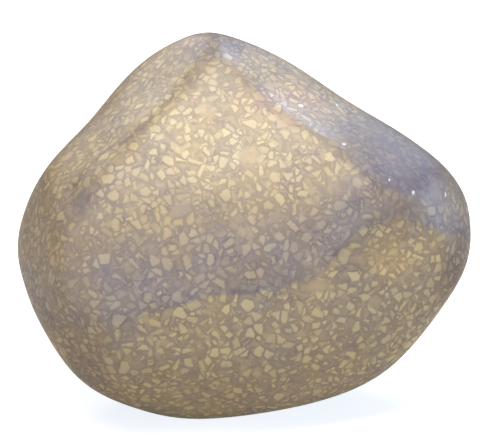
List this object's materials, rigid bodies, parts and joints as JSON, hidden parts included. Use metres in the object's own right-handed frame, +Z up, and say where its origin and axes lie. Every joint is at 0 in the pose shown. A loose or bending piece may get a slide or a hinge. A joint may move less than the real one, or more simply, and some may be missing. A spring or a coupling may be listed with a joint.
{
  "type": "polished chip-stone pebble",
  "caption": "Rounded polished pebble with broad worn faces and pale angular chips in a grey-mauve ground, resting on a flat underside.",
  "frame": {"origin": "centre of the bounding box's bottom, in the plane of the flat underside", "axes": "+X towards the blunt nose, along the longest extent; +Y towards the back, along the shortest extent; +Z up"},
  "size_m": [0.2498, 0.1704, 0.2061],
  "materials": {
    "chip_stone": "satin polish"
  },
  "bodies": {
    "root": {"pebble": "chip_stone"}
  },
  "joints": []
}
